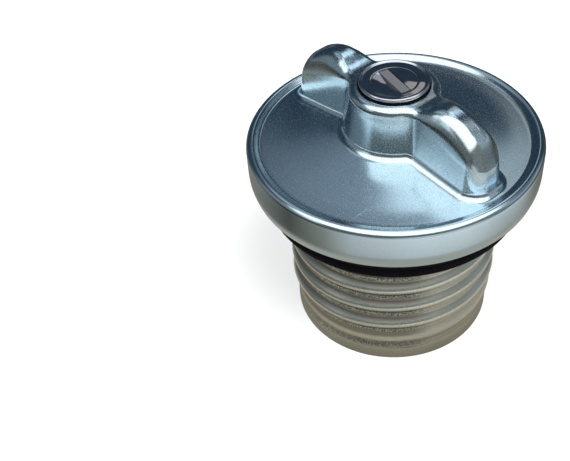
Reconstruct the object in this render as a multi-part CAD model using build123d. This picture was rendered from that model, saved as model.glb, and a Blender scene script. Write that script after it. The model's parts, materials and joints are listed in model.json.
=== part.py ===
from build123d import *
import math
import os

# Locking screw-in deck fill cap.
# Frame: millimetres, +Z up along the cap's turning axis, origin at the centre
# of the threaded sleeve's bottom edge. +X runs along the wing grip.
# Heights below are drawn from a datum LIFT above the bottom edge, 55 mm under
# the rim; every finished piece is raised by LIFT when it is written out.
# Every radius is measured from the Z axis unless a comment says otherwise.

os.makedirs("parts", exist_ok=True)

# ---------------------------------------------------------------- dimensions
LIFT = 1.9
Z_BOTTOM = -LIFT      # bottom edge of the sleeve
# cover (pressed sheet)
R_CAP = 37.5          # outer radius of the cover
SHEET = 1.0           # sheet thickness of cover and pressings
Z_RIM = 55.0          # top of the rim bead
Z_LIP = 43.7          # underside of the rolled lip
R_LIP = 35.0          # inner radius of the rolled lip
Z_DISC_EDGE = 53.9    # disc height where it meets the bead
R_DISC_EDGE = 33.8
# the disc is steepest beside the grip and flattens towards the bead
DISC = [(12.0, 56.25), (18.0, 55.35), (24.0, 54.6), (29.0, 54.1), (R_DISC_EDGE, Z_DISC_EDGE)]
Z_CROWN = 56.9        # on the axis, under the grip

# wing grip
R_BOSS = 12.3         # central boss, at the disc
ARM_HALF = 5.8        # half width of an arm, at the disc
ARM_REACH = 31.5      # tip of an arm
ARM_CORNER = 4.3      # plan radius of the tip corners
FOOT = 2.0            # fillet between the grip walls and the disc
TAPER = 3.0           # draft of the walls, degrees
Z_SEAT = 69.6         # flat seat around the lock

# lock
R_BARREL = 8.4        # lock housing barrel
R_PLUG = 5.5
R_BORE = 5.55         # bore the plug turns in
R_ROSETTE = 9.05
Z_FACE = 70.45        # face of the plug
SLOT_ANGLE = -14.0    # key slot against the grip, seen from above
WAFER_Z = [63.6, 61.0, 58.4, 55.8, 53.2]
WAFER_T = 1.0
PLUG_TURN = 90.0
BOLT_STROKE = 2.5
CAM_R0 = 5.2          # follower radius with the bolt drawn in

# sleeve
R_ROOT = 26.6
R_CREST = 28.0
R_SLEEVE_IN = 25.4
R_PILOT = 26.9
Z_PILOT = 2.0
PITCH = 6.5
Z_FLANGE = 42.2       # underside of the sleeve's out-turned flange
Z_SEAL = 36.4         # underside of the gasket: the sealing plane
R_GASKET = 33.4
NOTCHES = 12


# ------------------------------------------------------------------- helpers
def revolved(points):
    """A ring or disc from an (r, z) outline."""
    wire = Polyline(*[(r, 0, z) for r, z in points], close=True)
    return revolve(make_face(wire), Axis.Z)


def tube(r_out, r_in, z0, z1):
    return revolved([(r_in, z0), (r_out, z0), (r_out, z1), (r_in, z1)])


def cyl(r, z0, z1, x=0.0, y=0.0):
    return Pos(x, y, (z0 + z1) / 2) * Cylinder(r, z1 - z0)


def box(x0, x1, y0, y1, z0, z1):
    return Pos((x0 + x1) / 2, (y0 + y1) / 2, (z0 + z1) / 2) * Box(
        x1 - x0, y1 - y0, z1 - z0
    )


def coil(r_mean, r_wire, z0, pitch, turns, lefthand=False):
    """A round-wire coil about Z, starting on +X."""
    path = Helix(pitch=pitch, height=pitch * turns, radius=r_mean, lefthand=lefthand)
    plane = Plane(origin=path @ 0, x_dir=(1, 0, 0), z_dir=path % 0)
    return Pos(0, 0, z0) * sweep(plane * Circle(r_wire), path=path, is_frenet=True)


def to_slot(shape):
    """Turn a shape drawn with the key slot along X to the slot's real angle."""
    return Rot(0, 0, SLOT_ANGLE) * shape


NODES = {}


def keep(name, shape):
    NODES[name] = shape


# --------------------------------------------------------------------- cover
def cover_shell():
    r1, z1 = R_DISC_EDGE, Z_DISC_EDGE
    t = SHEET

    def disc_line(drop):
        pts = [(0, 0, Z_CROWN - drop)] + [(r, 0, z - drop) for r, z in DISC]
        return Spline(*pts, tangents=((1, 0, 0), (1, 0, -0.05)))

    edges = [
        disc_line(0.0),
        Spline(
            (r1, 0, z1),
            (35.0, 0, z1 + 0.42),
            (35.95, 0, Z_RIM),
            tangents=((1, 0, -0.05), (1, 0, 0.0)),
        ),
        ThreePointArc((35.95, 0, Z_RIM), (37.05, 0, 54.54), (R_CAP, 0, 53.45)),
        Line((R_CAP, 0, 53.45), (R_CAP, 0, 47.4)),
        ThreePointArc((R_CAP, 0, 47.4), (37.38, 0, 45.6), (36.95, 0, Z_LIP)),
        Line((36.95, 0, Z_LIP), (R_LIP, 0, Z_LIP)),
        Line((R_LIP, 0, Z_LIP), (R_LIP, 0, Z_LIP + 0.9)),
        Line((R_LIP, 0, Z_LIP + 0.9), (36.2, 0, Z_LIP + 0.9)),
        ThreePointArc(
            (36.2, 0, Z_LIP + 0.9), (36.42, 0, 46.2), (R_CAP - t, 0, 47.4)
        ),
        Line((R_CAP - t, 0, 47.4), (R_CAP - t, 0, 53.3)),
        ThreePointArc(
            (R_CAP - t, 0, 53.3), (36.3, 0, 53.78), (35.85, 0, Z_RIM - t)
        ),
        Spline(
            (35.85, 0, Z_RIM - t),
            (34.95, 0, z1 + 0.42 - t),
            (r1, 0, z1 - t),
            tangents=((-1, 0, 0.0), (-1, 0, 0.05)),
        ),
        disc_line(t),
        Line((0, 0, Z_CROWN - t), (0, 0, Z_CROWN)),
    ]
    pan = revolve(make_face(Wire(edges)), Axis.Z)

    # side profile of the grip: station, crest height, shoulder height
    stations = [
        (9.0, 69.6, 67.6),
        (12.0, 69.7, 67.2),
        (15.0, 70.8, 66.8),
        (18.0, 71.4, 65.7),
        (21.0, 70.9, 64.2),
        (24.0, 69.7, 63.1),
        (27.0, 67.7, 62.1),
        (29.0, 65.5, 61.4),
        (31.0, 62.8, 60.8),
        (33.0, 60.2, 59.5),
    ]

    def roof(inset):
        """Arched top of one arm, lofted through cross-sections."""
        half = ARM_HALF + 0.15 - inset
        faces = []
        for x, crest, shoulder in stations:
            top, side = crest - inset, shoulder - 0.6 * inset
            d = Plane(origin=(x, 0, 0), x_dir=(0, 1, 0), z_dir=(1, 0, 0))
            rise = top - side
            pts = [
                (half * math.cos(math.radians(q)), side + rise * math.sin(math.radians(q)) ** 0.8)
                for q in range(0, 181, 20)
            ]
            arch = Spline(*pts, tangents=((0, 1), (0, -1)))
            legs = Polyline(pts[-1], (-half, 40), (half, 40), pts[0])
            faces.append(d * make_face(Wire(arch.edges() + legs.edges())))
        return loft(faces)

    def wing(inset):
        """Dog-bone plan drawn up with draft, under the roofs of boss and arms."""
        plan = Circle(R_BOSS - inset) + RectangleRounded(
            2 * (ARM_REACH - inset), 2 * (ARM_HALF - inset), ARM_CORNER - inset
        )
        joins = [
            v
            for v in plan.vertices()
            if 8 < math.hypot(v.X, v.Y) < 14 and abs(abs(v.Y) - (ARM_HALF - inset)) < 0.01
        ]
        plan = fillet(joins, 3.6 + inset)
        body = extrude(Pos(0, 0, 50) * plan, amount=24, taper=TAPER)
        i = inset
        seat = Wire(
            [
                Line((0, 0, 40), (0, 0, Z_SEAT - i)),
                Line((0, 0, Z_SEAT - i), (9.4, 0, Z_SEAT - i)),
                ThreePointArc(
                    (9.4, 0, Z_SEAT - i), (10.85 - 0.7 * i, 0, 69.0 - 0.9 * i), (11.6 - i, 0, 67.4 - 0.6 * i)
                ),
                Line((11.6 - i, 0, 67.4 - 0.6 * i), (15.5, 0, 65.6 - i)),
                Line((15.5, 0, 65.6 - i), (15.5, 0, 40)),
                Line((15.5, 0, 40), (0, 0, 40)),
            ]
        )
        arm = roof(inset)
        top = revolve(make_face(seat), Axis.Z) + arm + mirror(arm, Plane.YZ)
        return body & top

    outer = wing(0.0)
    inner = wing(SHEET)
    # the walls of the grip stop at the underside of the disc
    under = make_face(
        Wire(
            [
                disc_line(t),
                Line((r1, 0, z1 - t), (r1, 0, 40)),
                Line((r1, 0, 40), (0, 0, 40)),
                Line((0, 0, 40), (0, 0, Z_CROWN - t)),
            ]
        )
    )
    outer = outer - revolve(under, Axis.Z)
    joined = pan + outer
    foot = [
        e
        for e in joined.edges()
        if 53.6 < e.center().Z < 57.6 and 11 < math.hypot(e.center().X, e.center().Y) < 33.4
        and e.bounding_box().size.Z < 3.5
    ]
    joined = soften(joined, foot, (FOOT, 1.2, 0.9, 0.6))
    shell = joined - inner
    return shell - cyl(8.5, 60, 80)


def soften(solid, edges, radii):
    """Round the chosen edges of a pressing with the largest radius that closes."""
    for radius in radii:
        try:
            rounded = fillet(edges, radius)
            if rounded.is_valid and rounded.volume > 0.6 * solid.volume:
                return rounded
        except Exception:
            continue
    return solid


keep("cover_shell", cover_shell())

# flat plate spot-welded under the disc; it steadies the lock housing
plate = tube(28.0, R_BARREL + 0.05, 52.0, 53.0)
SCREW_R = 13.75
SCREW_AT = [
    (SCREW_R * math.cos(math.radians(a)), SCREW_R * math.sin(math.radians(a)))
    for a in (45, 135, 225, 315)
]
for x, y in SCREW_AT:
    plate -= cyl(1.5, 51, 54, x, y)
keep("backing_plate", plate)

# -------------------------------------------------------------- lock housing
housing = tube(R_BARREL, R_BORE, 46.5, 70.3) + tube(16.0, R_BORE, 46.5, 52.0)
for a in (0, 90):
    slot = box(-7.0, 7.0, -2.75, 2.75, 52.3, 64.5) & cyl(7.0, 52.3, 64.5)
    housing -= to_slot(Rot(0, 0, a) * slot)
for x, y in SCREW_AT:
    housing -= cyl(1.5, 46, 53, x, y)
keep("lock_housing", housing)

keep("rosette_seal", tube(8.95, R_BARREL + 0.02, Z_SEAT, 70.0))

rosette_edges = [
    Line((R_BORE + 0.05, 0, 70.3), (R_BARREL, 0, 70.3)),
    Line((R_BARREL, 0, 70.3), (R_BARREL, 0, 70.0)),
    Line((R_BARREL, 0, 70.0), (R_ROSETTE, 0, 70.0)),
    Line((R_ROSETTE, 0, 70.0), (R_ROSETTE, 0, 70.55)),
    ThreePointArc((R_ROSETTE, 0, 70.55), (8.78, 0, 70.95), (8.4, 0, 70.75)),
    ThreePointArc((8.4, 0, 70.75), (8.15, 0, 70.6), (7.8, 0, 70.55)),
    Line((7.8, 0, 70.55), (R_BORE + 0.05, 0, 70.55)),
    Line((R_BORE + 0.05, 0, 70.55), (R_BORE + 0.05, 0, 70.3)),
]
keep("lock_rosette", revolve(make_face(Wire(rosette_edges)), Axis.Z))

# ------------------------------------------------------------------ the plug
# drawn with the key slot along X, then turned to the slot angle
plug = cyl(R_PLUG, 46.2, Z_FACE)
plug -= tube(6.0, 4.4, 45.0, 46.2)
plug += cyl(4.4, 45.2, 46.2)          # neck the retaining ring snaps on
plug += cyl(5.3, 43.6, 45.2)          # shoulder under the ring
plug += box(-2.5, 2.5, -2.5, 2.5, 39.0, 43.6)   # square tail for the cam
plug -= tube(6.0, 4.5, 50.3, 51.7)    # seal groove
# face: shutter slot across the full width, dished on one side, pocket below
SHUT_V = 1.95                         # hinge line of the shutter, off the slot
SHUT_Z = 69.40
PIN_R = 0.30
plug -= box(-6, 6, -1.38, 1.38, 69.0, 71)
DISH_R, DISH_H = 18.96, 18.16         # spherical dish, 0.8 deep at the axis
dish = Pos(0, 0, Z_FACE + DISH_H) * Sphere(DISH_R)
plug -= dish & box(-8, 8, -8, -1.3, 69, 72)
plug -= box(-4.5, 4.5, -1.38, 2.52, 65.6, 69.95)
plug -= box(-6, 6, -1.38, 1.65, 65.6, 69.05)    # room for the flap's long ends
plug -= Pos(0, SHUT_V, SHUT_Z) * Rot(0, 90, 0) * Cylinder(PIN_R, 10.0)
plug -= box(-3.8, 3.8, -1.1, 1.1, 48.0, 66.0)     # keyway
WAFER_SIDE = [1, -1, 1, -1, 1]
for z, s in zip(WAFER_Z, WAFER_SIDE):
    plug -= box(-7, 7, -2.55, 2.55, z - 0.55, z + 0.55)
    pocket = box(-3.4, 2.0, 2.4, 4.2, z - 0.55, z + 0.55)
    plug -= pocket if s > 0 else mirror(pocket, Plane.YZ)
plug -= cyl(1.25, 38.5, 44.8)          # tapped hole for the cam screw
keep("lock_plug", to_slot(plug))

# shutter flap: closes the slot from inside, folds down beside the key
flap = box(-4.4, 4.4, -1.15, SHUT_V, SHUT_Z, SHUT_Z + 0.45)
flap += box(-5.15, 5.15, -1.15, 1.22, SHUT_Z + 0.4, SHUT_Z + 0.97) & cyl(5.4, 69, 71)
flap += Pos(0, SHUT_V, SHUT_Z) * Rot(0, 90, 0) * Cylinder(0.52, 8.8)
flap -= Pos(0, SHUT_V, SHUT_Z) * Rot(0, 90, 0) * Cylinder(PIN_R + 0.05, 12)
flap -= box(-1.3, 1.3, SHUT_V - 0.62, SHUT_V + 0.62, SHUT_Z - 0.6, SHUT_Z + 0.6)
keep("slot_shutter", to_slot(flap))
pin = Pos(0, SHUT_V, SHUT_Z) * Rot(0, 90, 0) * Cylinder(PIN_R, 9.8)
keep("shutter_pin", to_slot(pin))
spring = Rot(0, 90, 0) * coil(0.43, 0.08, 0, 0.28, 8)
spring = Pos(-1.12, SHUT_V, SHUT_Z) * spring
keep("shutter_spring", to_slot(spring))

# plate tumblers, each with a key window and a side ear for its spring
springs = []
for i, (z, s) in enumerate(zip(WAFER_Z, WAFER_SIDE)):
    w = box(-6, 6, -2.5, 2.5, z - 0.5, z + 0.5) & cyl(5.45, z - 1, z + 1)
    w -= box(-4.0, 4.0, -1.3, 1.3, z - 1, z + 1)
    ear = box(0.0, 0.9, 2.4, 4.05, z - 0.5, z + 0.5)
    sp = coil(0.36, 0.1, 0, 0.6, 5)
    sp = Rot(0, 90, 0) * sp
    sp = Pos(-3.2, 3.35, z) * sp
    if s < 0:
        ear = mirror(ear, Plane.YZ)
        sp = mirror(sp, Plane.YZ)
    keep(f"wafer_{i + 1}", to_slot(w + ear))
    springs.append(to_slot(sp))
keep("wafer_springs", Compound(springs))

# seal ring in the plug's groove
ring = revolve(
    Plane.XZ * Pos(5.02, 51.0) * Circle(0.5), Axis.Z
)
keep("plug_o_ring", ring)

# open retaining ring under the housing
clip = tube(7.4, 4.42, 45.3, 46.1) - box(0, 9, -2.6, 2.6, 45, 47)
keep("plug_retaining_ring", to_slot(Rot(0, 0, 180) * clip))


# ----------------------------------------------------- cam, bolt and bolt cage
def spiral_groove(half, z0, z1):
    """Groove whose radius grows evenly with angle; it drives the bolt pin."""
    per_deg = BOLT_STROKE / PLUG_TURN
    first, last, n = -14.0, PLUG_TURN + 14.0, 25

    def centre(k):
        p = first + (last - first) * k / (n - 1)
        r = CAM_R0 + per_deg * p
        a = math.radians(-p)
        return r * math.cos(a), r * math.sin(a), a, p

    left, right = [], []
    for k in range(n):
        x, y, a, p = centre(k)
        r = math.hypot(x, y)
        dr = per_deg * 180 / math.pi
        # direction of travel along the groove
        tx = dr * math.cos(a) + r * math.sin(a)
        ty = dr * math.sin(a) - r * math.cos(a)
        m = math.hypot(tx, ty)
        nx, ny = -ty / m, tx / m
        left.append((x + half * nx, y + half * ny, 0))
        right.append((x - half * nx, y - half * ny, 0))
    path = Spline(*left), Spline(*right)
    x0, y0, a0, _ = centre(0)
    x1, y1, a1, _ = centre(n - 1)

    def cap(x, y, p, q, sign):
        mx, my = p[0] - q[0], p[1] - q[1]
        m = math.hypot(mx, my)
        return ThreePointArc(
            p, (x + sign * half * my / m, y - sign * half * mx / m, 0), q
        )

    end = cap(x1, y1, left[-1], right[-1], 1)
    start = cap(x0, y0, left[0], right[0], -1)
    face = make_face(Wire([path[0], end, path[1], start]))
    return extrude(Pos(0, 0, z0) * face, amount=z1 - z0)


cam = cyl(10.4, 38.3, 41.3)
cam -= to_slot(box(-2.5, 2.5, -2.5, 2.5, 38, 42))
cam -= spiral_groove(1.08, 38.0, 40.4)
keep("bolt_cam", cam)

screw = cyl(1.25, 38.2, 44.4) + cyl(3.4, 36.9, 38.3)
screw -= Pos(0, 0, 36.9) * Box(5.0, 0.8, 1.2)
keep("cam_screw", screw)

Z_BOLT0, Z_BOLT1 = 33.55, 36.55
bolt = box(-7.5, 15.5, -4.0, 4.0, Z_BOLT0, Z_BOLT1)
nose = extrude(
    Pos(0, 0, Z_BOLT0)
    * make_face(
        Polyline(
            (15.2, -4.0), (15.6, -4.0), (17.4, -2.2), (20.0, -1.9),
            (20.0, 1.9), (17.4, 2.2), (15.6, 4.0), (15.2, 4.0), close=True,
        )
    ),
    amount=Z_BOLT1 - Z_BOLT0,
)
bolt = bolt + nose
bolt += cyl(1.0, Z_BOLT1 - 0.2, 40.0, CAM_R0, 0)
bolt -= box(-4.6, 2.6, -2.2, 2.2, 33, 37)       # lightening window
keep("coupling_bolt", bolt)

cage = tube(16.0, 11.5, 31.5, 46.5) + cyl(16.0, 31.5, 33.5)
cage -= box(0, 17, -4.06, 4.06, 33.5, 36.62)
for x, y in SCREW_AT:
    cage -= cyl(1.6, 31, 47, x, y)
# side guides for the bolt
cage += box(-9.5, 10.0, 4.06, 5.6, 33.4, 36.4) + box(-9.5, 10.0, -5.6, -4.06, 33.4, 36.4)
cage += box(-9.9, -9.0, -4.2, 4.2, 33.4, 36.4)
keep("bolt_cage", cage)

bolts = []
for x, y in SCREW_AT:
    s = cyl(1.5, 31.5, 53.6, x, y)
    head = cyl(2.7, 29.8, 31.5, x, y)
    head -= Pos(x, y, 29.8) * Box(0.7, 6.0, 1.4)
    bolts.append(s + head)
keep("mechanism_screws", Compound(bolts))

# ------------------------------------------------------------ sleeve assembly
body = revolved(
    [
        (R_SLEEVE_IN, Z_BOTTOM),
        (R_PILOT - 0.3, Z_BOTTOM),
        (R_PILOT, Z_BOTTOM + 0.4),
        (R_PILOT, Z_PILOT - 0.3),
        (R_PILOT - 0.35, Z_PILOT),
        (R_ROOT, Z_PILOT + 0.25),
        (R_ROOT, Z_FLANGE),
        (32.0, Z_FLANGE),
        (32.0, Z_FLANGE + SHEET),
        (R_SLEEVE_IN, Z_FLANGE + SHEET),
    ]
)
# rolled round thread, right-hand, single start
TH_BOTTOM = 8.6
TH_TURNS = 3.65
TH_PHASE = -36.9
z_at_phase = 19.05
path = Helix(pitch=PITCH, height=PITCH * TH_TURNS, radius=R_ROOT)
start = Plane(origin=path @ 0, x_dir=(1, 0, 0), z_dir=path % 0)
h = R_CREST - R_ROOT
ridge = make_face(
    Wire(
        [
            Spline(
                (-0.5, -2.9), (0.35, -1.85), (h - 0.12, -0.75), (h, 0),
                (h - 0.12, 0.75), (0.35, 1.85), (-0.5, 2.9),
            ),
            Line((-0.5, 2.9), (-0.5, -2.9)),
        ]
    )
)
thread = sweep(start * ridge, path=path, is_frenet=True)
turns_below = (z_at_phase - TH_BOTTOM) / PITCH
thread = Pos(0, 0, TH_BOTTOM) * Rot(0, 0, TH_PHASE - 360.0 * turns_below) * thread
RIVET_R = 29.6
RIVET_AT = [
    (RIVET_R * math.cos(math.radians(a)), RIVET_R * math.sin(math.radians(a)))
    for a in range(15, 375, 60)
]
sleeve = body + thread
for x, y in RIVET_AT:
    sleeve -= cyl(1.5, 42, 44, x, y)
keep("threaded_sleeve", sleeve)

gasket_edges = [
    Line((R_ROOT + 0.02, 0, Z_SEAL), (R_GASKET - 1.0, 0, Z_SEAL)),
    ThreePointArc(
        (R_GASKET - 1.0, 0, Z_SEAL),
        (R_GASKET - 0.29, 0, Z_SEAL + 0.29),
        (R_GASKET, 0, Z_SEAL + 1.0),
    ),
    Line((R_GASKET, 0, Z_SEAL + 1.0), (R_GASKET, 0, Z_FLANGE - 0.6)),
    ThreePointArc(
        (R_GASKET, 0, Z_FLANGE - 0.6),
        (R_GASKET - 0.18, 0, Z_FLANGE - 0.18),
        (R_GASKET - 0.6, 0, Z_FLANGE),
    ),
    Line((R_GASKET - 0.6, 0, Z_FLANGE), (R_ROOT + 0.02, 0, Z_FLANGE)),
    Line((R_ROOT + 0.02, 0, Z_FLANGE), (R_ROOT + 0.02, 0, Z_SEAL)),
]
keep("sealing_gasket", revolve(make_face(Wire(gasket_edges)), Axis.Z))

carrier = revolved(
    [
        (26.0, 43.2), (33.2, 43.2), (34.4, 44.95), (36.2, 44.95),
        (36.2, 45.95), (33.9, 45.95), (32.7, 44.2), (26.0, 44.2),
    ]
)
for x, y in RIVET_AT:
    carrier -= cyl(1.5, 43, 45, x, y)
keep("carrier_ring", carrier)

rivets = []
for x, y in RIVET_AT:
    head = Pos(x, y, 44.2) * revolved([(0, 0), (2.4, 0), (2.2, 0.6), (1.3, 1.05), (0, 1.15)])
    rivets.append(cyl(1.5, 42.2, 44.2, x, y) + head)
keep("carrier_rivets", Compound(rivets))

keep("slip_ring", tube(36.0, 34.1, 46.0, 48.4))
keep("anti_rattle_spring", coil(34.95, 0.45, 48.9, 1.35, 2.75))

lock_ring = tube(R_SLEEVE_IN, 20.4, 33.2, 37.0)
for k in range(NOTCHES):
    lock_ring -= Rot(0, 0, 360.0 / NOTCHES * k) * box(19.0, 23.4, -2.6, 2.6, 33, 38)
keep("notched_ring", lock_ring)

keep(
    "bottom_plate",
    revolved(
        [
            (0, 0.8), (23.6, 0.8), (24.4, 1.6), (24.4, 5.6), (R_SLEEVE_IN, 5.6),
            (R_SLEEVE_IN, 0.6), (24.6, -0.2), (0, -0.2),
        ]
    ),
)

for name, shape in NODES.items():
    shape = Pos(0, 0, LIFT) * shape
    export_step(shape, f"parts/{name}.step")
    print(name, len(shape.solids()), round(shape.volume, 2), shape.is_valid)
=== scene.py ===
import json
import math

import bpy
import numpy as np
from mathutils import Matrix, Vector


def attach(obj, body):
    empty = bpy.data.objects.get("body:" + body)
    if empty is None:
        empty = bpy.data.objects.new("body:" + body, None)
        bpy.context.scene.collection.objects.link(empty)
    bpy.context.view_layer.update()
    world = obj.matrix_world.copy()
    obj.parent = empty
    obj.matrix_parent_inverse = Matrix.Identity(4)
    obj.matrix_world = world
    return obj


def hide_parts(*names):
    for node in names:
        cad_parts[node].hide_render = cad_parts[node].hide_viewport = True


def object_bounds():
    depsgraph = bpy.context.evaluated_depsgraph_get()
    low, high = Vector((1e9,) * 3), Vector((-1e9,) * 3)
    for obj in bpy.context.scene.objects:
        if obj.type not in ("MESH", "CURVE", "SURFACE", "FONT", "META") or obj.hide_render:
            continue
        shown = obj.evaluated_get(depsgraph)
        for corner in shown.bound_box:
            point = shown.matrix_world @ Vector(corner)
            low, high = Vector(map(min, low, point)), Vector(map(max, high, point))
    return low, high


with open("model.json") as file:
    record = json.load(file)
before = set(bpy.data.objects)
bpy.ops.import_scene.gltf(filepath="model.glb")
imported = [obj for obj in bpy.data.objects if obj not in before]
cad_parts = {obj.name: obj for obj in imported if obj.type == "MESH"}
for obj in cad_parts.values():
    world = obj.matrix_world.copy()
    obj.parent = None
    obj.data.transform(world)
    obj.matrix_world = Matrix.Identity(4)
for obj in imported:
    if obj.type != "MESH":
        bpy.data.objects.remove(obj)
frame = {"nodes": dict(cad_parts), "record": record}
cad_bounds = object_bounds()
NODES = frame["nodes"]
MM = 0.001
LIFT = 1.9   # piece heights below are drawn from a datum this far above the sleeve's bottom edge, mm


# ============================================================== mesh helpers
def grid_faces(rows, cols, start=0, flip=False):
    """Quads between consecutive closed rings stored row by row."""
    k = np.arange(rows - 1)[:, None] * cols
    i = np.arange(cols)[None, :]
    j = (i + 1) % cols
    a, b, c, d = k + i, k + j, k + cols + j, k + cols + i
    q = np.stack([a, b, c, d], axis=-1).reshape(-1, 4) + start
    return q[:, ::-1] if flip else q


def add_piece(name, verts_mm, faces, body, material, replaces=(), sharp=40, attrs=None):
    me = bpy.data.meshes.new(name)
    v = (np.asarray(verts_mm, float) + [0, 0, LIFT]) * MM
    me.from_pydata(v.tolist(), [], [list(map(int, f)) for f in faces])
    me.validate()
    me.update()
    for key, values in (attrs or {}).items():
        at = me.attributes.new(key, "FLOAT", "POINT")
        at.data.foreach_set("value", np.asarray(values, np.float32))
    me.polygons.foreach_set("use_smooth", np.ones(len(me.polygons), bool))
    me.set_sharp_from_angle(angle=math.radians(sharp))
    ob = bpy.data.objects.new(name, me)
    bpy.context.scene.collection.objects.link(ob)
    me.materials.append(material)
    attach(ob, body)
    if replaces:
        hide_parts(*replaces)
    return ob


def arc(cx, cz, r, a0, a1, n, rz=None):
    t = np.radians(np.linspace(a0, a1, n))
    return [(cx + r * math.cos(x), cz + (rz or r) * math.sin(x)) for x in t]


def lathe(profile, segments=256):
    """Closed ring solid from a closed (r, z) outline given in order."""
    p = np.asarray(profile, float)
    keep = [0]
    for i in range(1, len(p)):
        if np.hypot(*(p[i] - p[keep[-1]])) > 1e-4:
            keep.append(i)
    p = p[keep]
    if np.hypot(*(p[0] - p[-1])) < 1e-4:
        p = p[:-1]
    th = np.linspace(0, 2 * math.pi, segments, endpoint=False)
    rows = len(p)
    v = np.zeros((rows, segments, 3))
    v[:, :, 0] = p[:, 0:1] * np.cos(th)
    v[:, :, 1] = p[:, 0:1] * np.sin(th)
    v[:, :, 2] = p[:, 1:2]
    area = 0.5 * np.sum(p[:, 0] * np.roll(p[:, 1], -1) - np.roll(p[:, 0], -1) * p[:, 1])
    faces = grid_faces(rows, segments, flip=area < 0)
    last = (rows - 1) * segments
    i = np.arange(segments)
    j = (i + 1) % segments
    close = np.stack([last + i, last + j, j, i], axis=-1)
    if area < 0:
        close = close[:, ::-1]
    return v.reshape(-1, 3), np.vstack([faces, close])


def lathe_solid(profile, segments=256):
    """Closed solid from an (r, z) outline whose first and last points lie on the axis."""
    p = np.asarray(profile, float)
    th = np.linspace(0, 2 * math.pi, segments, endpoint=False)
    inner = p[1:-1]
    v = [(0, 0, p[0, 1]), (0, 0, p[-1, 1])]
    ring = np.zeros((len(inner), segments, 3))
    ring[:, :, 0] = inner[:, 0:1] * np.cos(th)
    ring[:, :, 1] = inner[:, 0:1] * np.sin(th)
    ring[:, :, 2] = inner[:, 1:2]
    verts = np.vstack([np.array(v), ring.reshape(-1, 3)])
    area = 0.5 * np.sum(p[:, 0] * np.roll(p[:, 1], -1) - np.roll(p[:, 0], -1) * p[:, 1])
    flip = area < 0
    faces = [tuple(f) for f in grid_faces(len(inner), segments, 2, flip)]
    last = 2 + (len(inner) - 1) * segments
    for i in range(segments):
        j = (i + 1) % segments
        a = (0, 2 + j, 2 + i) if not flip else (0, 2 + i, 2 + j)
        b = (1, last + i, last + j) if not flip else (1, last + j, last + i)
        faces += [a, b]
    return verts, faces


def smoothstep(x, a, b):
    t = np.clip((np.asarray(x, float) - a) / (b - a), 0, 1)
    return t * t * (3 - 2 * t)


def curve1d(xs, ys):
    """Monotone-ish cubic through points (Catmull tangents), constant beyond the ends."""
    xs, ys = np.asarray(xs, float), np.asarray(ys, float)
    m = np.gradient(ys, xs)

    def f(x):
        x = np.clip(np.asarray(x, float), xs[0], xs[-1])
        i = np.clip(np.searchsorted(xs, x) - 1, 0, len(xs) - 2)
        h = xs[i + 1] - xs[i]
        t = (x - xs[i]) / h
        return (
            (2 * t**3 - 3 * t**2 + 1) * ys[i]
            + (t**3 - 2 * t**2 + t) * h * m[i]
            + (-2 * t**3 + 3 * t**2) * ys[i + 1]
            + (t**3 - t**2) * h * m[i + 1]
        )

    return f


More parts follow.
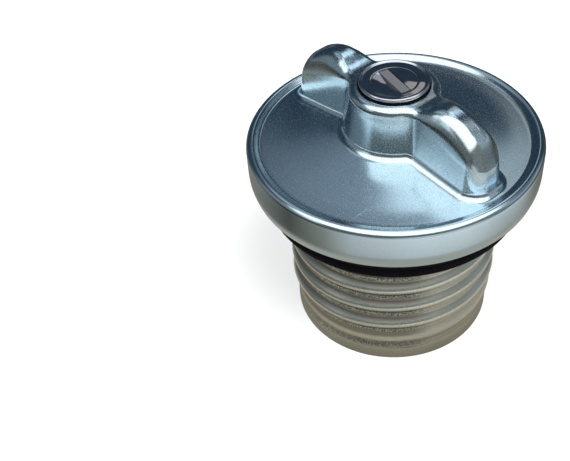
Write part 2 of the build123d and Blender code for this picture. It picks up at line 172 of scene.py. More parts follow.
# ========================================================== material helpers
class Mat:
    """Small wrapper that keeps node building readable."""

    def __init__(self, name):
        self.m = bpy.data.materials.new(name)
        self.m.use_nodes = True
        self.t = self.m.node_tree
        self.bsdf = self.t.nodes["Principled BSDF"]
        self.coord = self.t.nodes.new("ShaderNodeTexCoord").outputs["Object"]

    def node(self, kind, **values):
        n = self.t.nodes.new(kind)
        for k, v in values.items():
            if k in n.inputs:
                n.inputs[k].default_value = v
            else:
                setattr(n, k, v)
        return n

    def link(self, a, b):
        self.t.links.new(a, b)

    def scaled(self, xyz):
        n = self.node("ShaderNodeMapping")
        n.inputs["Scale"].default_value = xyz
        self.link(self.coord, n.inputs["Vector"])
        return n.outputs["Vector"]

    def noise(self, scale, detail=3.0, rough=0.5, vector=None, distortion=0.0):
        n = self.node("ShaderNodeTexNoise", Scale=scale, Detail=detail, Roughness=rough, Distortion=distortion)
        self.link(vector or self.coord, n.inputs["Vector"])
        return n.outputs["Fac"]

    def voronoi(self, scale, feature="F1", vector=None):
        n = self.node("ShaderNodeTexVoronoi", Scale=scale)
        n.feature = feature
        self.link(vector or self.coord, n.inputs["Vector"])
        return n.outputs["Distance"]

    def ramp(self, fac, stops):
        n = self.node("ShaderNodeValToRGB")
        cr = n.color_ramp
        while len(cr.elements) < len(stops):
            cr.elements.new(0.5)
        for e, (pos, col) in zip(cr.elements, stops):
            e.position = pos
            e.color = (*col, 1) if len(col) == 3 else col
        self.link(fac, n.inputs["Fac"])
        return n.outputs["Color"]

    def span(self, fac, a, b, lo, hi):
        n = self.node("ShaderNodeMapRange")
        n.inputs["From Min"].default_value = a
        n.inputs["From Max"].default_value = b
        n.inputs["To Min"].default_value = lo
        n.inputs["To Max"].default_value = hi
        self.link(fac, n.inputs["Value"])
        return n.outputs["Result"]

    def math(self, op, a, b=None):
        n = self.node("ShaderNodeMath", operation=op)
        for i, x in enumerate((a, b)):
            if x is None:
                continue
            if isinstance(x, (int, float)):
                n.inputs[i].default_value = x
            else:
                self.link(x, n.inputs[i])
        return n.outputs[0]

    def mix(self, fac, a, b, blend="MIX"):
        n = self.node("ShaderNodeMix", data_type="RGBA", blend_type=blend)
        for key, x in (("Factor_Float", fac), ("A_Color", a), ("B_Color", b)):
            s = next(i for i in n.inputs if i.identifier == key)
            if isinstance(x, (int, float)):
                s.default_value = x
            elif isinstance(x, tuple):
                s.default_value = (*x, 1) if len(x) == 3 else x
            else:
                self.link(x, s)
        return next(o for o in n.outputs if o.identifier == "Result_Color")

    def bump(self, height, strength, distance, normal=None):
        n = self.node("ShaderNodeBump", Strength=strength, Distance=distance)
        self.link(height, n.inputs["Height"])
        if normal is not None:
            self.link(normal, n.inputs["Normal"])
        return n.outputs["Normal"]

    def attr(self, name):
        n = self.node("ShaderNodeAttribute", attribute_name=name)
        return n.outputs["Fac"]

    def set(self, **values):
        for k, v in values.items():
            s = self.bsdf.inputs[k.replace("_", " ")]
            if isinstance(v, (int, float)):
                s.default_value = v
            elif isinstance(v, tuple):
                s.default_value = (*v, 1) if len(v) == 3 else v
            else:
                self.link(v, s)
        return self


def zinc_cover():
    m = Mat("zinc_cover")
    broad = m.noise(38, 3, 0.5)
    fine = m.noise(4300, 1, 0.5)
    fleck = m.noise(2900, 2, 0.6)
    # the turned-down skirt is smoother than the face of the pressing
    sepn = m.node("ShaderNodeSeparateXYZ")
    m.link(m.coord, sepn.inputs[0])
    rr = m.math("ADD", m.math("MULTIPLY", sepn.outputs["X"], sepn.outputs["X"]), m.math("MULTIPLY", sepn.outputs["Y"], sepn.outputs["Y"]))
    face = m.span(rr, 0.0365**2, 0.0345**2, 0.25, 1.0)
    base = m.ramp(broad, [(0.30, (0.57, 0.72, 0.81)), (0.70, (0.66, 0.79, 0.86))])
    dark = m.math("MULTIPLY", m.span(fleck, 0.38, 0.52, 0.42, 0.0), face)
    col = m.mix(dark, base, (0.33, 0.42, 0.50))
    # sparse pale pin-points in the plating
    pin = m.math("MULTIPLY", m.span(fine, 0.55, 0.68, 0.0, 1.0), face)
    col = m.mix(m.math("MULTIPLY", pin, 0.35), col, (0.97, 0.98, 0.99))
    # light handling scratches: thin stretched noise crests in two directions
    s1 = m.noise(1.0, 1, 0.4, m.scaled((2600, 55, 300)))
    s2 = m.noise(1.0, 1, 0.4, m.scaled((75, 2300, 300)))
    scratch = m.math("MULTIPLY", m.math("MAXIMUM", m.span(s1, 0.75, 0.80, 0, 1), m.span(s2, 0.76, 0.81, 0, 1)), face)
    rough = m.math("ADD", m.span(broad, 0.3, 0.7, 0.135, 0.175), m.math("MULTIPLY", pin, 0.13))
    rough = m.math("ADD", rough, m.math("MULTIPLY", scratch, 0.16))
    n1 = m.bump(m.math("MULTIPLY", fine, face), 0.22, 0.00001)
    n2 = m.bump(m.math("MULTIPLY", fleck, face), 0.12, 0.000015, n1)
    n3 = m.bump(m.math("MULTIPLY", scratch, -1.0), 0.35, 0.00001, n2)
    m.set(Base_Color=col, Metallic=1.0, Roughness=rough, Normal=n3)
    return m.m


def zinc_sleeve():
    m = Mat("zinc_sleeve")
    valley = m.attr("valley")
    flank_shade = m.attr("flank_shade")
    crest_highlight = m.attr("crest_highlight")
    broad = m.noise(70, 4, 0.6)
    grain = m.noise(1700, 3, 0.75)
    grit = m.noise(2500, 2, 0.7)
    base = m.ramp(broad, [(0.3, (0.58, 0.60, 0.55)), (0.7, (0.68, 0.695, 0.64))])
    col = m.mix(m.span(valley, 0.35, 1.0, 0.0, 0.88), base, (0.315, 0.295, 0.25))
    # painted highlight: the top of each crest is painted near white
    col = m.mix(m.math("MULTIPLY", crest_highlight, 0.9), col, (0.96, 0.98, 0.90))
    # painted shade: dark specks on the lower flanks
    shade_specks = m.math("MULTIPLY", m.span(grit, 0.455, 0.53, 0.0, 1.0), flank_shade)
    col = m.mix(m.math("MULTIPLY", shade_specks, 0.85), col, (0.07, 0.105, 0.135))
    col = m.mix(m.span(grain, 0.40, 0.60, 0.18, 0.0), col, (0.25, 0.26, 0.25))
    rough = m.math("ADD", m.span(grain, 0.3, 0.7, 0.36, 0.23), m.math("MULTIPLY", valley, 0.08))
    n1 = m.bump(grain, 0.45, 0.00005)
    n2 = m.bump(grit, 0.30, 0.00002, n1)
    m.set(Base_Color=col, Metallic=1.0, Roughness=rough, Normal=n2)
    return m.m


def plain_metal(name, dark, light, rough_lo, rough_hi, scale=900, bump=0.25, dist=0.00002, metallic=1.0, stretch=None):
    m = Mat(name)
    vec = m.scaled(stretch) if stretch else None
    n = m.noise(1.0 if stretch else scale, 3, 0.6, vec)
    b = m.noise(90, 3, 0.5)
    col = m.ramp(n, [(0.3, dark), (0.7, light)])
    col = m.mix(m.span(b, 0.35, 0.65, 0.0, 0.35), col, dark)
    m.set(
        Base_Color=col,
        Metallic=metallic,
        Roughness=m.span(n, 0.3, 0.7, rough_hi, rough_lo),
        Normal=m.bump(n, bump, dist),
    )
    return m.m


def chrome():
    """Mirror plate with a hint of crown and slow waviness."""
    m = Mat("chrome_trim")
    smudge = m.noise(260, 4, 0.6)
    wave = m.noise(150, 1, 0.4)
    pit = m.noise(3000, 2, 0.5)
    col = m.ramp(smudge, [(0.35, (0.56, 0.56, 0.62)), (0.7, (0.68, 0.68, 0.73))])
    rough = m.math("ADD", m.span(smudge, 0.45, 0.75, 0.03, 0.07), m.span(pit, 0.64, 0.75, 0.0, 0.08))
    sepn = m.node("ShaderNodeSeparateXYZ")
    m.link(m.coord, sepn.inputs[0])
    xx = m.math("MULTIPLY", sepn.outputs["X"], sepn.outputs["X"])
    yy = m.math("MULTIPLY", sepn.outputs["Y"], sepn.outputs["Y"])
    crown = m.bump(m.math("MULTIPLY", m.math("ADD", xx, yy), -5.0), 1.0, 1.0)
    m.set(Base_Color=col, Metallic=1.0, Roughness=rough, Normal=m.bump(wave, 0.5, 0.0003, crown))
    return m.m


def rubber():
    m = Mat("black_rubber")
    n = m.noise(700, 3, 0.6)
    b = m.noise(120, 3, 0.5)
    col = m.ramp(b, [(0.3, (0.0012, 0.0010, 0.0030)), (0.7, (0.0028, 0.0024, 0.0055))])
    m.set(
        Base_Color=col,
        Roughness=m.span(n, 0.3, 0.7, 0.42, 0.58),
        Normal=m.bump(n, 0.18, 0.00003),
        Specular_IOR_Level=0.05,
    )
    return m.m


def nylon():
    m = Mat("nylon")
    n = m.noise(600, 3, 0.6)
    col = m.ramp(n, [(0.3, (0.66, 0.64, 0.56)), (0.7, (0.76, 0.74, 0.67))])
    m.set(Base_Color=col, Roughness=m.span(n, 0.3, 0.7, 0.42, 0.6), Normal=m.bump(n, 0.15, 0.00003), Subsurface_Weight=0.1)
    return m.m


M_COVER = zinc_cover()
M_SLEEVE = zinc_sleeve()
M_CHROME = chrome()
M_RUBBER = rubber()
M_NYLON = nylon()
M_SHUTTER = plain_metal("shutter_steel", (0.105, 0.11, 0.12), (0.15, 0.155, 0.165), 0.42, 0.55, stretch=(3000, 3000, 3000), bump=0.2, metallic=0.35)
M_CAST = plain_metal("die_cast", (0.36, 0.37, 0.38), (0.50, 0.51, 0.52), 0.42, 0.60, scale=1300, bump=0.5, dist=0.00005)
M_BRASS = plain_metal("brass_parts", (0.52, 0.38, 0.16), (0.66, 0.51, 0.25), 0.26, 0.42, scale=1600)
M_SPRING = plain_metal("spring_steel", (0.33, 0.33, 0.34), (0.46, 0.46, 0.47), 0.22, 0.36, scale=2200)
SLOT_MATERIAL = {
    "zinc_cover": M_COVER,
    "zinc_sleeve": M_SLEEVE,
    "chrome_trim": M_CHROME,
    "shutter_steel": M_SHUTTER,
    "die_cast": M_CAST,
    "brass_parts": M_BRASS,
    "spring_steel": M_SPRING,
    "black_rubber": M_RUBBER,
    "nylon": M_NYLON,
}
for sp in frame["record"]["subparts"]:
    ob = NODES[sp["node"]]
    ob.data.materials.clear()
    ob.data.materials.append(SLOT_MATERIAL[sp["material_slot"]])


# ==================================================================== cover
R_CAP, Z_RIM, Z_EDGE, R_EDGE = 37.5, 55.0, 53.9, 33.8
RB, AH, AR, RC, RF = 12.3, 5.8, 31.5, 4.6, 3.6
Z_SEAT, R_HOLE = 69.6, 8.5
FOOT = 2.0
DRAFT = 0.62

CREST = curve1d(
    [0, 8.0, 9.6, 11.0, 12.4, 14.0, 16.0, 18.0, 20.0, 22.0, 24.0, 26.0, 27.5, 29.0, 30.2, 31.4],
    [69.6, 69.6, 69.58, 69.55, 69.8, 70.4, 71.15, 71.45, 71.2, 70.6, 69.65, 68.4, 67.1, 65.4, 63.7, 61.8],
)
SHOULDER = curve1d(
    [0, 9, 12.5, 15, 18, 21, 24, 27, 29, 31.4],
    [67.5, 67.5, 67.2, 66.8, 65.7, 64.2, 63.0, 62.1, 61.5, 60.9],
)
DISC = curve1d([0, 6, 12, 18, 24, 29, R_EDGE], [56.9, 56.7, 56.25, 55.35, 54.6, 54.1, Z_EDGE])


def disc_z(r):
    return DISC(r)


def top_z(x, y):
    return CREST(np.abs(x)) - 0.012 * y**2 * smoothstep(np.abs(x), 11, 15) * (1 - smoothstep(np.abs(x), 17, 21))


def wing_outline():
    """Outline of the grip at the disc, one quadrant mirrored to four, with inward normals."""
    cy = AH + RF
    cx = math.sqrt((RB + RF) ** 2 - cy**2)
    a_end = math.atan2(cy, cx)
    pts, nrm = [], []

    def put(p, n):
        pts.append(p)
        nrm.append(n)

    flat = AH - RC
    for t in np.linspace(0, 1, 4)[:-1]:
        put((AR, flat * t), (-1, 0))
    for t in np.radians(np.linspace(0, 90, 31))[:-1]:
        put((AR - RC + RC * math.cos(t), flat + RC * math.sin(t)), (-math.cos(t), -math.sin(t)))
    for t in np.linspace(0, 1, 36)[:-1]:
        put((AR - RC + (cx - AR + RC) * t, AH), (0, -1))
    for t in np.linspace(-math.pi / 2, -math.pi + a_end, 23)[:-1]:
        put((cx + RF * math.cos(t), cy + RF * math.sin(t)), (math.cos(t), math.sin(t)))
    for t in np.linspace(a_end, math.pi / 2, 27):
        put((RB * math.cos(t), RB * math.sin(t)), (-math.cos(t), -math.sin(t)))
    p, n = np.array(pts), np.array(nrm)
    seg = np.hypot(*np.diff(p, axis=0).T)
    w = np.concatenate([[0], np.cumsum(seg)])
    w /= w[-1]
    q = len(p) - 1
    P, Nn, W = [p], [n], [w * 90]
    P.append(p[::-1][1:] * [-1, 1]); Nn.append(n[::-1][1:] * [-1, 1]); W.append(180 - w[::-1][1:] * 90)
    P.append(p[1:] * [-1, -1]); Nn.append(n[1:] * [-1, -1]); W.append(180 + w[1:] * 90)
    P.append(p[::-1][1:-1] * [1, -1]); Nn.append(n[::-1][1:-1] * [1, -1]); W.append(360 - w[::-1][1:-1] * 90)
    return np.vstack(P), np.vstack(Nn), np.concatenate(W)


def build_cover():
    P, Nn, W = wing_outline()
    n = len(P)
    beta = np.radians(W)
    r0 = np.hypot(P[:, 0], P[:, 1])
    ax = np.abs(P[:, 0])
    rings = []

    def ring(xy, z):
        rings.append(np.column_stack([xy, z]))

    # the shoulder runs from the top of the wall (wall_xy) in to inner_xy
    rho = 2.2 + 1.8 * smoothstep(ax, 12, 18)
    draft = DRAFT + 0.43 * (1 - smoothstep(ax, 9.5, 14))
    wall_xy = P + Nn * draft[:, None]
    plain = P + Nn * (draft + rho)[:, None]
    core_half = AH - DRAFT - 4.4
    wx = np.abs(wall_xy[:, 0])
    qx = np.where(wx < 26, wx, 26 + 1.2 * (1 - np.exp(-(np.maximum(wx, 26) - 26) / 1.2)))
    qy = core_half * np.tanh(np.abs(wall_xy[:, 1]) / core_half)
    tip = np.column_stack([np.sign(P[:, 0]) * qx, np.sign(P[:, 1]) * qy]) - Nn * 0.4
    w_tip = smoothstep(ax, 18, 22)[:, None]
    inner_xy = plain * (1 - w_tip) + tip * w_tip
    # lock hole mapping follows the direction of the inset ring
    a0 = np.arctan2(inner_xy[:, 1], inner_xy[:, 0])
    hole = np.column_stack([R_HOLE * np.cos(a0), R_HOLE * np.sin(a0)])
    fan = 22
    for k in range(fan):
        t = k / fan
        t = t**1.15
        xy = hole * (1 - t) + inner_xy * t
        ring(xy, top_z(xy[:, 0], xy[:, 1]))
    zd = disc_z(r0)
    z_wall = SHOULDER(wx)
    # the roof meets the end wall of an arm in a soft crease
    low = np.radians(24 * smoothstep(wx, 28.6, 30.8))
    steps = 22
    for k in range(steps + 1):
        psi = low + (math.pi / 2 - low) * (1 - k / steps)
        part = (1 - np.cos(psi) / np.cos(low))[:, None]
        xy = wall_xy + (inner_xy - wall_xy) * part
        rise = (np.sin(psi) - np.sin(low)) / (1 - np.sin(low))
        ring(xy, z_wall + (top_z(xy[:, 0], xy[:, 1]) - z_wall) * rise)
    walls = 10
    for k in range(1, walls + 1):
        t = k / walls
        d = (draft * (1 - t))[:, None]
        ring(P + Nn * d, z_wall * (1 - t) + (zd + FOOT) * t)
    for k in range(1, 11):
        psi = math.radians(90 * (1 - k / 10))
        d = -FOOT * (1 - math.sin(psi))
        xy = P + Nn * d
        rr = np.hypot(xy[:, 0], xy[:, 1])
        ring(xy, disc_z(rr) + FOOT * (1 - math.cos(psi)))
    edge = np.column_stack([R_EDGE * np.cos(beta), R_EDGE * np.sin(beta)])
    out0 = P - Nn * FOOT
    disc = 30
    for k in range(1, disc + 1):
        t = k / disc
        t = 0.55 * t + 0.45 * t * t
        xy = out0 * (1 - t) + edge * t
        rr = np.hypot(xy[:, 0], xy[:, 1])
        ring(xy, disc_z(rr))
    split = len(rings)
    cb, sb = np.cos(beta), np.sin(beta)

    def lring(r, z):
        rings.append(np.column_stack([r * cb, r * sb, np.full(n, z)]))

    L, m0 = 35.95 - R_EDGE, -0.03
    for t in np.linspace(0, 1, 13)[1:]:
        z = (
            (2 * t**3 - 3 * t**2 + 1) * Z_EDGE
            + (t**3 - 2 * t**2 + t) * L * m0 * 1.6
            + (-2 * t**3 + 3 * t**2) * Z_RIM
        )
        lring(R_EDGE + L * t, z)
    for a in np.linspace(90, 0, 15)[1:]:
        a = math.radians(a)
        lring(35.95 + 1.55 * math.cos(a), 53.45 + 1.55 * math.sin(a))
    for z in np.linspace(53.45, 47.6, 9)[1:]:
        lring(R_CAP, z)
    for t in np.linspace(0, 1, 11)[1:]:
        lring(R_CAP - 0.62 * t**2.2, 47.6 - 3.3 * t)
    for a in np.linspace(0, 90, 8)[1:]:
        a = math.radians(a)
        lring(36.28 + 0.60 * math.cos(a), 44.3 - 0.60 * math.sin(a))
    for r in (35.9, 35.5, 35.2):
        lring(r, 43.7)
    for a in np.linspace(270, 90, 9):
        a = math.radians(a)
        lring(35.2 + 0.20 * math.cos(a) * 1.0, 44.15 + 0.45 * math.sin(a))
    lring(36.1, 44.6)
    lring(36.4, 45.1)
    lring(36.5, 47.6)
    lring(36.5, 53.2)
    lring(36.3, 53.72)
    lring(35.85, 54.0)
    for t in (0.75, 0.5, 0.25):
        z = (
            (2 * t**3 - 3 * t**2 + 1) * Z_EDGE
            + (t**3 - 2 * t**2 + t) * L * m0 * 1.6
            + (-2 * t**3 + 3 * t**2) * Z_RIM
        )
        lring(R_EDGE + L * t, z - 1.0)
    G = np.array(rings)
    # underside: the sheet is one millimetre thick everywhere
    O = G[:split]
    dk = np.gradient(O, axis=0)
    di = np.roll(O, -1, axis=1) - np.roll(O, 1, axis=1)
    nv = np.cross(di, dk)
    nv /= np.linalg.norm(nv, axis=2, keepdims=True) + 1e-12
    if nv[0, 0, 2] < 0:
        nv = -nv
    I = O - nv
    I[0, :, 0:2] = O[0, :, 0:2]
    G = np.concatenate([G, I[::-1]])
    rows = len(G)
    faces = grid_faces(rows, n, flip=True)
    last = (rows - 1) * n
    i = np.arange(n)
    j = (i + 1) % n
    close = np.stack([last + i, last + j, j, i], axis=-1)[:, ::-1]
    return G.reshape(-1, 3), np.vstack([faces, close])


v, f = build_cover()
add_piece("cover_pressing", v, f, "cover", M_COVER, ["cover_shell"], sharp=50)


# =================================================================== sleeve
PITCH, R_ROOT, R_CREST, R_IN, R_PILOT, Z_BOTTOM = 6.5, 26.6, 28.0, 25.4, 26.9, -1.9


def build_sleeve():
    cols = 360
    th = np.linspace(0, 2 * math.pi, cols, endpoint=False)
    zs = [Z_BOTTOM + d for d in (0.0, 0.05, 0.2, 0.45)]
    zs += list(np.linspace(-1.2, 1.4, 6)) + [1.6, 1.8, 1.95, 2.1, 2.25, 2.45]
    zs += list(np.arange(2.65, 36.1, 0.17)) + [36.4, 39, 41.6, 42.2]
    zs = np.array(zs)
    Z, T = np.meshgrid(zs, th, indexing="ij")
    # turn number of the crest through (theta, z); the crest at -36.9 deg sits at z 19.05
    phase = (Z - 19.05) / PITCH - (T + math.radians(36.9)) / (2 * math.pi)
    near = np.round(phase)
    u = (phase - near) * PITCH                      # axial distance from that crest, mm
    zc = Z - u                                      # height of the crest itself
    amp = smoothstep(zc, 3.0, 10.4) ** 0.9 * (1 - smoothstep(zc, 33.0, 36.5))
    a = np.abs(u)
    down = np.mod(-u, PITCH)                        # the same distance, measured down from the crest above
    # painted light: one side of the sleeve is painted lighter, as if lit, than the other
    side = (np.degrees(T) + 46.1 + 180) % 360 - 180
    lit_side = smoothstep(side, 8, 26) * (1 - smoothstep(side, 110, 170))
    # painted highlight along each crest, wider and shifted on the lit side
    crest_highlight = np.exp(-(((u - 0.35 + 0.5 * lit_side) / (0.50 + 0.80 * lit_side)) ** 2)) * np.clip(amp * 1.4, 0, 1)
    form = 0.5 + 0.5 * np.cos(np.clip(a / 2.65, 0, 1) * math.pi)
    form = form**0.85
    R = R_ROOT + (R_CREST - R_ROOT) * form * amp
    groove = np.exp(-(((Z - 2.6) / 0.35) ** 2))
    pilot = 1 - smoothstep(Z, 1.2, 3.4)
    base = R_ROOT * (1 - pilot) + R_PILOT * pilot
    R = np.maximum(R, base) - 0.10 * groove
    lip = Z_BOTTOM + 0.5
    R = np.where(Z < lip, R_PILOT - 0.45 * (1 - np.sqrt(np.clip(1 - ((lip - Z) / 0.5) ** 2, 0, 1))), R)
    outer = np.stack([R * np.cos(T), R * np.sin(T), Z], axis=-1)
    # darker, browner colour in the thread root above each crest and on the plain bands
    valley = smoothstep(down, 3.3, 3.9) * (1 - smoothstep(down, 4.8, 5.9))
    valley = np.maximum(valley, 0.7 * (1 - np.clip(amp * 2.5, 0, 1))) * (Z > 2.0) + 0.35 * (Z <= 2.0)
    # halved on the lit side as part of the painted light there
    valley = valley * (1 - 0.5 * lit_side)
    # on the lit side the painted highlight also spreads broadly over the flanks
    crest_highlight = np.maximum(crest_highlight, 0.45 * lit_side * (1 - valley) * np.clip(amp * 1.4, 0, 1))
    # painted shade: dark specks on the flank under each crest stand in for the dark reflection there
    flank_shade = smoothstep(down, 0.15, 0.7) * (1 - smoothstep(down, 3.5, 4.1)) * np.clip(amp * 3, 0, 1) * (1 - 0.85 * lit_side)
    extra, ev = [], []

    def ring(r, z, vv=0.3):
        extra.append(np.column_stack([r * np.cos(th), r * np.sin(th), np.full(cols, z)]))
        ev.append(np.full(cols, vv))

    for r, z in ((26.75, 42.2), (31.6, 42.2), (32.0, 42.35), (32.0, 43.05), (31.8, 43.2), (25.9, 43.2), (25.4, 42.9)):
        ring(r, z)
    for z in np.linspace(42.0, Z_BOTTOM + 1.0, 40):
        ring(25.4, z)
    ring(25.5, Z_BOTTOM + 0.15)
    ring(25.75, Z_BOTTOM)
    G = np.concatenate([outer, np.array(extra)])
    A = np.concatenate([valley, np.array(ev)])
    F = np.concatenate([flank_shade, np.zeros_like(np.array(ev))])
    C = np.concatenate([crest_highlight, np.zeros_like(np.array(ev))])
    rows = len(G)
    faces = grid_faces(rows, cols)
    last = (rows - 1) * cols
    i = np.arange(cols)
    j = (i + 1) % cols
    close = np.stack([last + i, last + j, j, i], axis=-1)
    return G.reshape(-1, 3), np.vstack([faces, close]), A.reshape(-1), F.reshape(-1), C.reshape(-1)


v, f, valley, flank_shade, crest_highlight = build_sleeve()
add_piece("threaded_sleeve_rolled", v, f, "sleeve", M_SLEEVE, ["threaded_sleeve"], sharp=60, attrs={"valley": valley, "flank_shade": flank_shade, "crest_highlight": crest_highlight})

# =================================================================== gasket
prof = [(26.62, 36.6), (26.8, 36.4), (32.4, 36.4)]
prof += arc(32.4, 37.4, 1.0, -90, 0, 9)[1:]
prof += [(33.4, 39.4), (33.33, 39.5), (33.33, 39.62), (33.4, 39.72), (33.4, 41.6)]
prof += arc(32.8, 41.6, 0.6, 0, 90, 7)[1:]
prof += [(26.9, 42.2), (26.62, 42.0)]
v, f = lathe(prof, 288)
add_piece("gasket_ring", v, f, "sleeve", M_RUBBER, ["sealing_gasket"], sharp=60)

# ================================================================== rosette
prof = [(5.6, 70.3), (8.2, 70.3), (8.2, 70.02), (8.66, 70.0), (8.73, 70.03), (8.76, 70.12)]
prof += arc(8.38, 70.50, 0.38, 0, 150, 14, 0.45)
prof += [(7.98, 70.63), (7.9, 70.57), (7.8, 70.55), (7.0, 70.54), (6.2, 70.53), (5.7, 70.52), (5.62, 70.49), (5.6, 70.42)]
v, f = lathe(prof, 256)
add_piece("rosette_trim", v, f, "cover", M_CHROME, ["lock_rosette"], sharp=50)


# ==================================================================== stage
# ------------------------------------------------------------- light
CAM_AZ = math.atan2(-0.132773, 0.127567)


def direction(az_from_camera, elevation):
    """Unit vector: azimuth counted anticlockwise from the camera's side, in degrees."""
    a = CAM_AZ + math.radians(az_from_camera)
    e = math.radians(elevation)
    return (math.cos(e) * math.cos(a), math.cos(e) * math.sin(a), math.sin(e))


def stage_material():
    """Pale matt floor. Seen in reflections it glows with painted light, from a bright surround down to a painted
    shadow, a dim patch round the cap.
    """
    m = Mat("floor_paint")
    n = m.noise(6, 3, 0.5)
    pale = m.ramp(n, [(0.3, (0.90, 0.90, 0.895)), (0.7, (0.93, 0.93, 0.925))])
    m.set(Base_Color=pale, Roughness=0.9, Specular_IOR_Level=0.1)
    lp = m.node("ShaderNodeLightPath")
    sepn = m.node("ShaderNodeSeparateXYZ")
    m.link(m.coord, sepn.inputs[0])
    flat = m.node("ShaderNodeCombineXYZ")
    m.link(sepn.outputs["X"], flat.inputs["X"])
    m.link(sepn.outputs["Y"], flat.inputs["Y"])
    dist = m.node("ShaderNodeVectorMath", operation="LENGTH")
    m.link(flat.outputs[0], dist.inputs[0])
    # painted light and shadow that only reflections see: dark round the cap, brighter further out
    floor_glow_paint = m.ramp(
        m.span(dist.outputs["Value"], 0.0, 0.4, 0.0, 1.0),
        [
            (0.055, (0.18, 0.165, 0.135)),
            (0.085, (0.42, 0.385, 0.31)),
            (0.115, (0.46, 0.43, 0.36)),
            (0.200, (0.40, 0.385, 0.34)),
            (0.232, (0.72, 0.72, 0.70)),
            (0.34, (0.62, 0.63, 0.62)),
            (0.55, (0.30, 0.31, 0.31)),
            (0.80, (0.16, 0.17, 0.18)),
        ],
    )
    # the painted glow is brightest to the right of the camera and dim to its left
    unit = m.node("ShaderNodeVectorMath", operation="NORMALIZE")
    m.link(flat.outputs[0], unit.inputs[0])
    side = m.node("ShaderNodeVectorMath", operation="DOT_PRODUCT")
    m.link(unit.outputs[0], side.inputs[0])
    side.inputs[1].default_value = direction(34, 0)
    level = m.ramp(
        m.span(side.outputs["Value"], -1.0, 1.0, 0.0, 1.0),
        [
            (0.10, (0.40, 0.40, 0.38)),
            (0.38, (0.13, 0.125, 0.105)),
            (0.62, (0.43, 0.42, 0.37)),
            (0.76, (0.84, 0.84, 0.84)),
            (0.90, (1.0, 1.0, 1.0)),
            (0.99, (1.22, 1.22, 1.22)),
        ],
    )
    far_right = m.span(side.outputs["Value"], 0.80, 0.97, 0.0, 1.0)
    reach = m.span(dist.outputs["Value"], 0.055, 0.085, 0.0, 1.0)
    floor_glow_paint = m.mix(reach, floor_glow_paint, m.mix(1.0, floor_glow_paint, level, "MULTIPLY"))
    out = m.math("MULTIPLY", far_right, m.span(dist.outputs["Value"], 0.12, 0.20, 0.0, 1.0))
    floor_glow_paint = m.mix(out, floor_glow_paint, (0.66, 0.67, 0.66))
    # painted glow: to the far left a dim strip with a paler one beyond it
    left = m.node("ShaderNodeVectorMath", operation="DOT_PRODUCT")
    m.link(unit.outputs[0], left.inputs[0])
    left.inputs[1].default_value = direction(-99, 0)
    strip = m.span(left.outputs["Value"], 0.960, 0.988, 0.0, 1.0)
    pale_part = m.span(dist.outputs["Value"], 0.134, 0.146, 0.0, 1.0)
    dim_part = m.math("MULTIPLY", m.span(dist.outputs["Value"], 0.098, 0.110, 0.0, 1.0), m.math("SUBTRACT", 1.0, pale_part))
    floor_glow_paint = m.mix(m.math("MULTIPLY", strip, dim_part), floor_glow_paint, m.mix(1.0, floor_glow_paint, (0.42, 0.62, 0.70), "MULTIPLY"))
    floor_glow_paint = m.mix(m.math("MULTIPLY", strip, pale_part), floor_glow_paint, m.mix(1.0, floor_glow_paint, (1.75, 1.65, 1.60), "MULTIPLY"))
    glow = m.node("ShaderNodeEmission")
    m.link(floor_glow_paint, glow.inputs["Color"])
    white = m.node("ShaderNodeEmission")
    white.inputs["Color"].default_value = (0.96, 0.96, 0.96, 1)
    soft = m.node("ShaderNodeMixShader")
    soft.inputs[0].default_value = 0.55
    m.link(m.bsdf.outputs[0], soft.inputs[1])
    m.link(white.outputs[0], soft.inputs[2])
    cam_mix = m.node("ShaderNodeMixShader")
    m.link(lp.outputs["Is Camera Ray"], cam_mix.inputs[0])
    m.link(m.bsdf.outputs[0], cam_mix.inputs[1])
    m.link(soft.outputs[0], cam_mix.inputs[2])
    final = m.node("ShaderNodeMixShader")
    m.link(lp.outputs["Is Glossy Ray"], final.inputs[0])
    m.link(cam_mix.outputs[0], final.inputs[1])
    m.link(glow.outputs[0], final.inputs[2])
    out = next(x for x in m.t.nodes if x.type == "OUTPUT_MATERIAL")
    m.link(final.outputs[0], out.inputs["Surface"])
    return m.m


low, high = cad_bounds
z_floor = float(low[2])
me = bpy.data.meshes.new("floor")
S = 3.0
me.from_pydata([(-S, -S, z_floor), (S, -S, z_floor), (S, S, z_floor), (-S, S, z_floor)], [], [(0, 1, 2, 3)])
floor = bpy.data.objects.new("floor", me)
bpy.context.scene.collection.objects.link(floor)
me.materials.append(stage_material())

# ------------------------------------------------------------- camera
cam_data = bpy.data.cameras.new("camera")
cam = bpy.data.objects.new("camera", cam_data)
bpy.context.scene.collection.objects.link(cam)
cam_data.sensor_width = 36.0
cam_data.lens = 57.366
cam_data.clip_start = 0.01
cam_data.clip_end = 20
right = Vector((0.649748, 0.757017, -0.068939))
up = Vector((-0.489497, 0.486065, 0.723971))
back = Vector((0.581567, -0.436653, 0.686377))
loc = Vector((0.127567, -0.132773, 0.197983))
cam.matrix_world = Matrix(
    ((right.x, up.x, back.x, loc.x), (right.y, up.y, back.y, loc.y), (right.z, up.z, back.z, loc.z), (0, 0, 0, 1))
)
bpy.context.scene.camera = cam

world = bpy.data.worlds.new("studio")
bpy.context.scene.world = world
world.use_nodes = True
wt = world.node_tree
for nd in list(wt.nodes):
    wt.nodes.remove(nd)


def wnode(kind, **values):
    nd = wt.nodes.new(kind)
    for k, val in values.items():
        if k in nd.inputs:
            nd.inputs[k].default_value = val
        else:
            setattr(nd, k, val)
    return nd


geo = wnode("ShaderNodeTexCoord").outputs["Generated"]
sep = wnode("ShaderNodeSeparateXYZ")
wt.links.new(geo, sep.inputs[0])


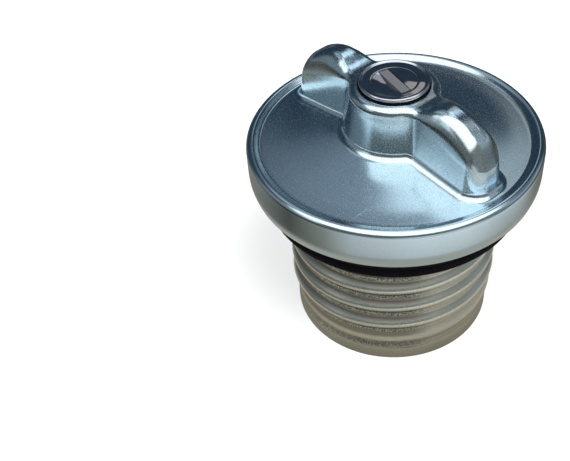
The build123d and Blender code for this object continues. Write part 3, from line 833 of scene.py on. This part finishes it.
def wcolor(fac, a, b):
    nd = wnode("ShaderNodeMix", data_type="RGBA")
    for key, x in (("Factor_Float", fac), ("A_Color", a), ("B_Color", b)):
        s = next(i for i in nd.inputs if i.identifier == key)
        if isinstance(x, tuple):
            s.default_value = (*x, 1)
        else:
            wt.links.new(x, s)
    return next(o for o in nd.outputs if o.identifier == "Result_Color")


def wspan(value, a, b):
    nd = wnode("ShaderNodeMapRange", interpolation_type="SMOOTHSTEP")
    nd.inputs["From Min"].default_value = a
    nd.inputs["From Max"].default_value = b
    wt.links.new(value, nd.inputs["Value"])
    return nd.outputs["Result"]


def lobe(az, el, inner, outer):
    """1 inside a cone of half angle inner round a direction, falling to 0 at outer."""
    d = wnode("ShaderNodeVectorMath", operation="DOT_PRODUCT")
    wt.links.new(geo, d.inputs[0])
    d.inputs[1].default_value = direction(az, el)
    return wspan(d.outputs["Value"], math.cos(math.radians(outer)), math.cos(math.radians(inner)))


def wmath(op, a, b):
    nd = wnode("ShaderNodeMath", operation=op)
    for i, x in enumerate((a, b)):
        if isinstance(x, (int, float)):
            nd.inputs[i].default_value = x
        else:
            wt.links.new(x, nd.inputs[i])
    return nd.outputs[0]


def bank(az, half, blur, el0, el1, blur0, blur1):
    """1 over a wide light bank: an azimuth sector and an elevation range with soft edges, degrees."""
    flat = wnode("ShaderNodeCombineXYZ")
    wt.links.new(sep.outputs["X"], flat.inputs["X"])
    wt.links.new(sep.outputs["Y"], flat.inputs["Y"])
    unit = wnode("ShaderNodeVectorMath", operation="NORMALIZE")
    wt.links.new(flat.outputs[0], unit.inputs[0])
    d = wnode("ShaderNodeVectorMath", operation="DOT_PRODUCT")
    wt.links.new(unit.outputs[0], d.inputs[0])
    d.inputs[1].default_value = direction(az, 0)
    sector = wspan(d.outputs["Value"], math.cos(math.radians(min(half + blur, 180))), math.cos(math.radians(half - blur)))
    sin = lambda e: math.sin(math.radians(e))
    above = wspan(sep.outputs["Z"], sin(el0 - blur0), sin(el0 + blur0))
    below = wspan(sep.outputs["Z"], sin(el1 + blur1), sin(el1 - blur1))
    return wmath("MULTIPLY", sector, wmath("MULTIPLY", above, below))


sky = wcolor(wspan(sep.outputs["Z"], -0.06, 0.03), (0.85, 0.85, 0.83), (0.027, 0.047, 0.071))
BANKS = [
    (10, 82, 14, 2, 33, 5, 8, (0.12, 0.13, 0.12)),
    (58, 24, 14, 2, 33, 5, 8, (0.21, 0.22, 0.20)),
    (104, 20, 10, 4, 50, 6, 8, (0.38, 0.43, 0.47)),
    (-66, 13, 5, 14, 44, 5, 6, (0.95, 1.05, 1.08)),
    (-14, 30, 14, 30, 42, 3, 6, (0.60, 0.68, 0.70)),
]
for az, half, blur, el0, el1, blur0, blur1, col in BANKS:
    sky = wcolor(bank(az, half, blur, el0, el1, blur0, blur1), sky, col)
# the main soft source hangs over the camera's side and stops at the zenith
d = wnode("ShaderNodeVectorMath", operation="DOT_PRODUCT")
wt.links.new(geo, d.inputs[0])
d.inputs[1].default_value = direction(11, 24)
near = wspan(d.outputs["Value"], 0.10, 0.24)
high = wspan(sep.outputs["Z"], math.sin(math.radians(30)), math.sin(math.radians(40)))
sky = wcolor(wmath("MULTIPLY", near, high), sky, (1.65, 1.67, 1.64))
LIGHTS = [
    (-88, 10, 8, 34, (0.20, 0.235, 0.25)),
    (-150, 60, 7, 25, (0.17, 0.21, 0.25)),
    (-163, 44, 3, 10, (0.15, 0.19, 0.23)),
    (-174, 54, 4, 15, (0.23, 0.28, 0.34)),
    (164, 55, 7, 12, (1.00, 1.20, 1.30)),
    (176, 78, 7, 13, (1.20, 1.25, 1.27)),
    (166, 41, 3.5, 6.5, (0.42, 0.47, 0.50)),
    (173, 37.5, 3.5, 5, (0.46, 0.45, 0.42)),
    (-128, 57, 5, 16, (0.40, 0.47, 0.51)),
    (110, 35, 8, 21, (0.13, 0.18, 0.21)),
]
for az, el, inner, outer, col in LIGHTS:
    sky = wcolor(lobe(az, el, inner, outer), sky, col)
bg = wnode("ShaderNodeBackground")
wt.links.new(sky, bg.inputs["Color"])
pale = wnode("ShaderNodeBackground")
pale.inputs["Color"].default_value = (1.0, 1.0, 1.0, 1)
lp = wnode("ShaderNodeLightPath")
mx = wnode("ShaderNodeMixShader")
wt.links.new(lp.outputs["Is Camera Ray"], mx.inputs[0])
wt.links.new(bg.outputs[0], mx.inputs[1])
wt.links.new(pale.outputs[0], mx.inputs[2])
out = wnode("ShaderNodeOutputWorld")
wt.links.new(mx.outputs[0], out.inputs[0])


def area(name, az, el, dist, size, power, color):
    ld = bpy.data.lights.new(name, "AREA")
    ld.shape = "DISK"
    ld.size = size
    ld.energy = power
    ld.color = color
    ob = bpy.data.objects.new(name, ld)
    bpy.context.scene.collection.objects.link(ob)
    d = Vector(direction(az, el))
    ob.location = d * dist + Vector((0, 0, 0.045))
    ob.rotation_euler = (-d).to_track_quat("-Z", "Y").to_euler()
    ob.visible_glossy = False
    return ob


area("key", 35, 65, 0.9, 0.5, 9.0, (1.0, 0.99, 0.97))
area("fill", -70, 45, 1.0, 0.7, 4.0, (0.93, 0.97, 1.0))

bpy.context.scene.view_settings.view_transform = "Standard"
bpy.context.scene.view_settings.look = "None"
